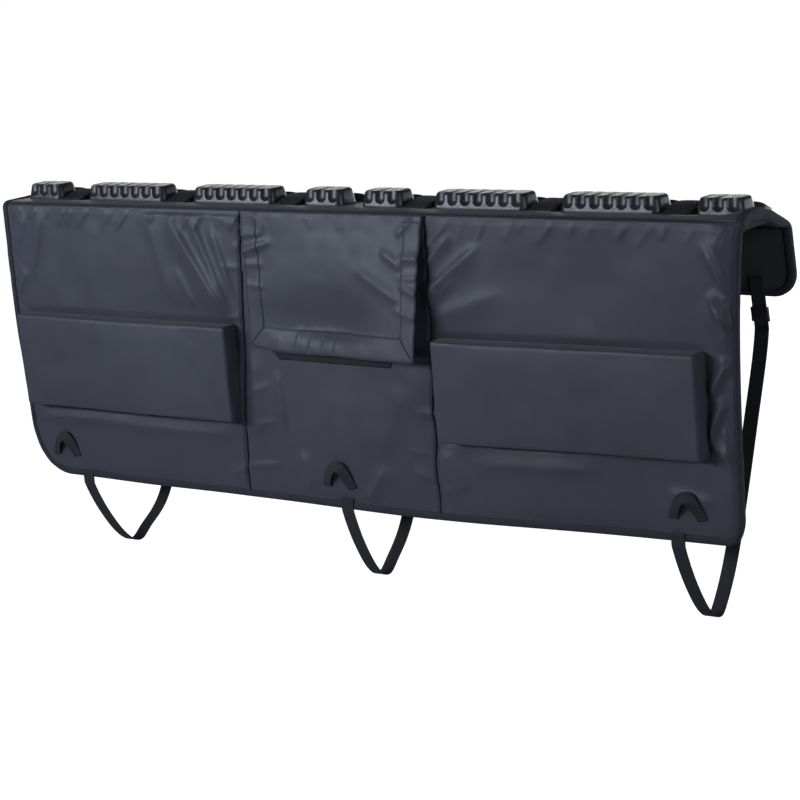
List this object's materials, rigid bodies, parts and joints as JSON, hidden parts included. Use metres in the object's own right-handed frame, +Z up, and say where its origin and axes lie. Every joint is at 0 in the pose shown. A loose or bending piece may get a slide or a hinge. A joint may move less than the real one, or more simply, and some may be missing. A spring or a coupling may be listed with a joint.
{
  "type": "tailgate bike pad",
  "caption": "Padded tarpaulin cover that hangs over a pickup tailgate, with fluted rubber bumper blocks that hold bicycles apart, impact pads and straps under the tailgate.",
  "frame": {"origin": "middle of the flat underside that sits on the tailgate's top edge", "axes": "+X along the tailgate to the right as seen from behind the truck, +Y from the front panel to the back flap, towards the bed, +Z up"},
  "size_m": [1.6, 0.2303, 0.6983],
  "materials": {
    "tarpaulin": "coated tarpaulin with a soft sheen",
    "block_rubber": "moulded rubber, half gloss",
    "webbing": "woven webbing, matt",
    "trim": "folded edge tape, matt",
    "lining": "brushed black lining, matt",
    "foam": "closed-cell foam"
  },
  "bodies": {
    "root": {"access_flap": "tarpaulin", "back_binding": "trim", "back_flap": "tarpaulin", "back_lining": "lining", "back_padding": "foam", "corner_loop_centre": "webbing", "corner_loop_left": "webbing", "corner_loop_right": "webbing", "flap_closure_strip": "webbing", "flap_hem_bottom": "tarpaulin", "flap_hem_left": "tarpaulin", "flap_hem_right": "tarpaulin", "frame_strap_1": "webbing", "frame_strap_2": "webbing", "frame_strap_3": "webbing", "frame_strap_4": "webbing", "frame_strap_5": "webbing", "frame_strap_6": "webbing", "front_binding": "trim", "front_block_1": "block_rubber", "front_block_2": "block_rubber", "front_block_3": "block_rubber", "front_block_4": "block_rubber", "front_block_5": "block_rubber", "front_block_6": "block_rubber", "front_block_7": "block_rubber", "front_block_8": "block_rubber", "front_lining": "lining", "front_padding": "foam", "front_panel_centre": "tarpaulin", "front_panel_left": "tarpaulin", "front_panel_right": "tarpaulin", "impact_pad_cover_left": "tarpaulin", "impact_pad_cover_right": "tarpaulin", "impact_pad_foam_left": "foam", "impact_pad_foam_right": "foam", "lower_strap_centre": "webbing", "lower_strap_left": "webbing", "lower_strap_right": "webbing", "rear_block_1": "block_rubber", "rear_block_2": "block_rubber", "rear_block_3": "block_rubber", "rear_block_4": "block_rubber", "rear_block_5": "block_rubber", "rear_block_6": "block_rubber", "rear_block_7": "block_rubber", "rear_block_8": "block_rubber", "strap_keeper_centre": "trim", "strap_keeper_left": "trim", "strap_keeper_right": "trim", "top_end_left": "tarpaulin", "top_end_right": "tarpaulin", "top_foam": "foam", "top_lining": "lining", "top_panel": "tarpaulin", "top_piping": "trim", "window_binding": "trim"}
  },
  "joints": []
}
